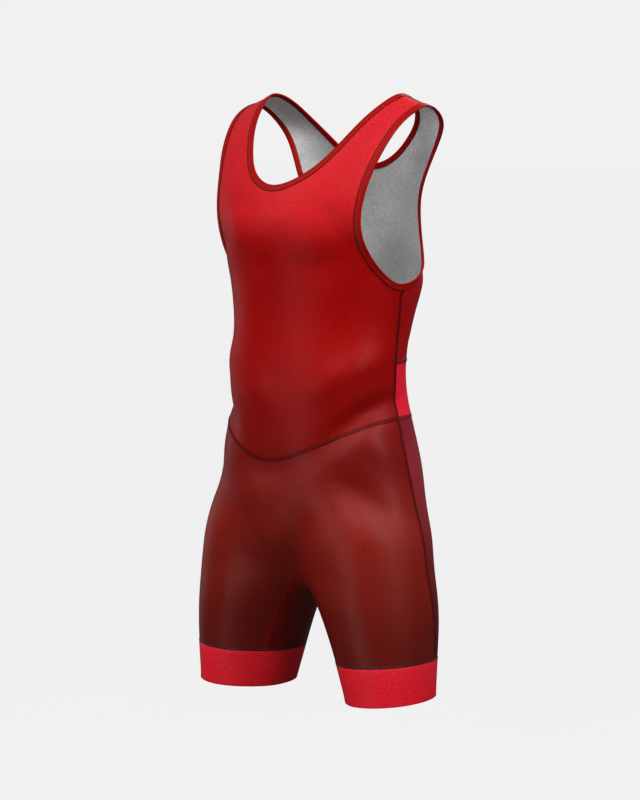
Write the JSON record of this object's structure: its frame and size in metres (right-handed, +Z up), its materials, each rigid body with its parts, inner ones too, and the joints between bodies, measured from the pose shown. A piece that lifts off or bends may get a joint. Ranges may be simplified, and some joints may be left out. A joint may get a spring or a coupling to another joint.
{
  "type": "wrestling singlet",
  "caption": "Sleeveless one-piece wrestling singlet, hollow and filled out as worn, with wide straps, scoop neck, curved waist seam and banded thigh-length legs.",
  "frame": {"origin": "midway between the undersides of the two straps at the shoulder seams, where the wearer's shoulders hold the garment", "axes": "+Z up, +X to the wearer's left, the garment's front facing -Y"},
  "size_m": [0.388, 0.2511, 0.8458],
  "materials": {
    "upper_knit": "smooth printed polyester and elastane knit",
    "bright_knit": "smooth printed polyester and elastane knit",
    "shorts_knit": "smooth printed polyester and elastane knit",
    "leg_band_knit": "folded elastic gripper band",
    "binding_tape": "folded stretch binding with coverstitch"
  },
  "bodies": {
    "root": {"front_body": "upper_knit", "back_body": "upper_knit", "back_waist_band": "bright_knit", "front_shorts": "shorts_knit", "back_shorts": "shorts_knit", "crotch_gusset": "shorts_knit", "leg_band_left": "leg_band_knit", "leg_band_right": "leg_band_knit", "neck_binding": "binding_tape", "armhole_binding_left": "binding_tape", "armhole_binding_right": "binding_tape"}
  },
  "joints": []
}
